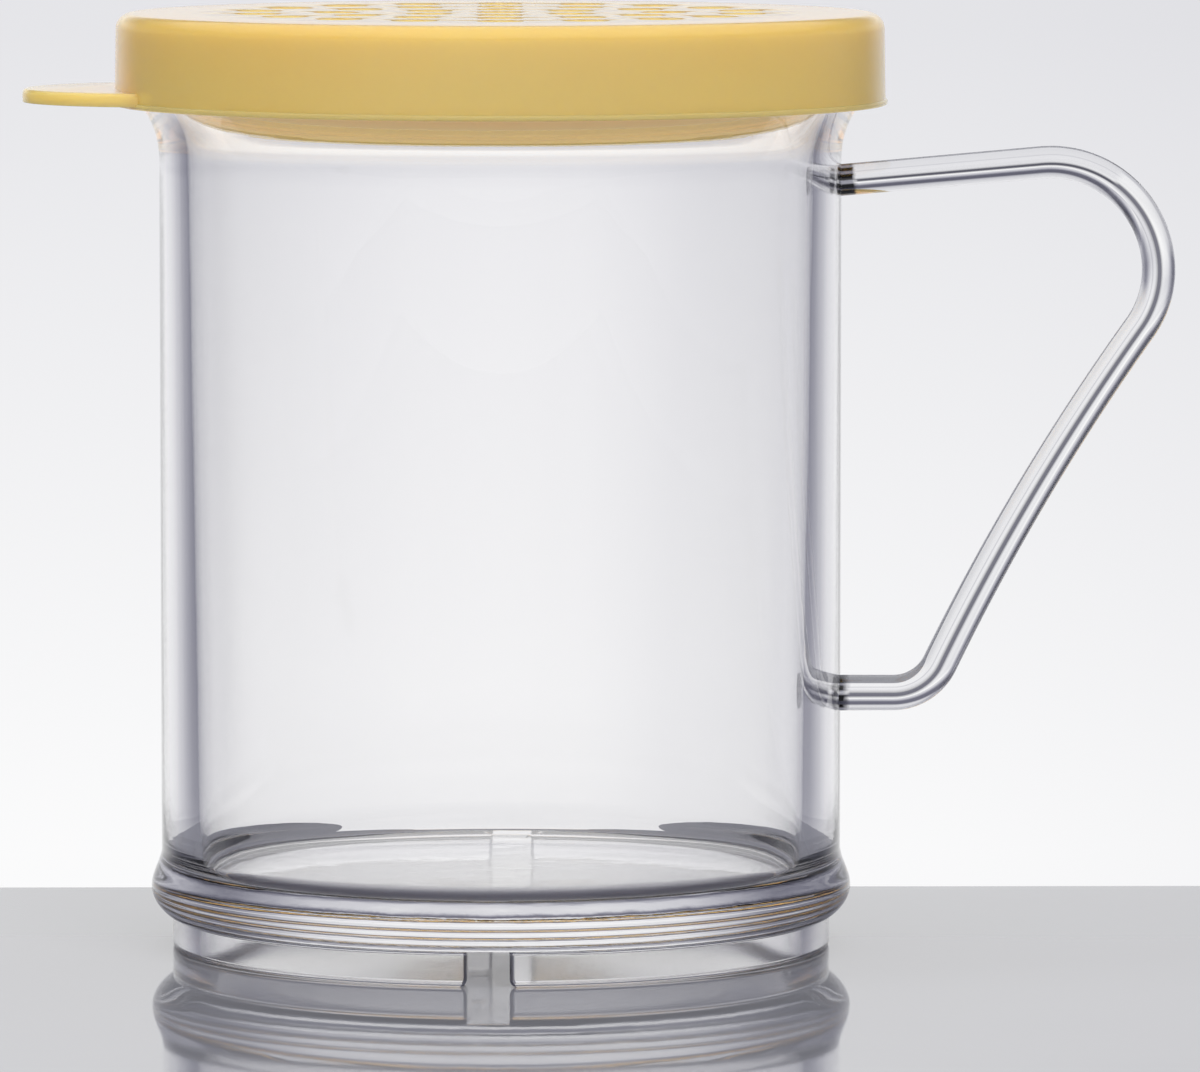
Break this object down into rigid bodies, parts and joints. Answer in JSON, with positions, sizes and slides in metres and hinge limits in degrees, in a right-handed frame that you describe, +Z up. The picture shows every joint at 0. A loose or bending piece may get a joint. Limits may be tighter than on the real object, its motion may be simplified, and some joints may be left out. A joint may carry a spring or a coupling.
{
  "type": "spice shaker",
  "caption": "Handled clear plastic shaker cup with a stacking foot, a bent rod handle and a snap-fit perforated lid with a lift tab.",
  "frame": {"origin": "on the cup's axis at the level that the foot ring stands on", "axes": "+Z up along the cup's axis, +X towards the handle, -X towards the lid's lift tab"},
  "size_m": [0.1214, 0.0814, 0.0986],
  "materials": {
    "clear_polycarbonate": "clear, polished",
    "yellow_polyethylene": "satin"
  },
  "bodies": {
    "cup_body": {"cup": "clear_polycarbonate", "handle": "clear_polycarbonate"},
    "lid_body": {"lid": "yellow_polyethylene"}
  },
  "joints": [
    {"name": "lid_lift", "type": "slide", "parent": "cup_body", "child": "lid_body", "axis": [0, 0, 1], "range_m": [0, 0.04]}
  ]
}
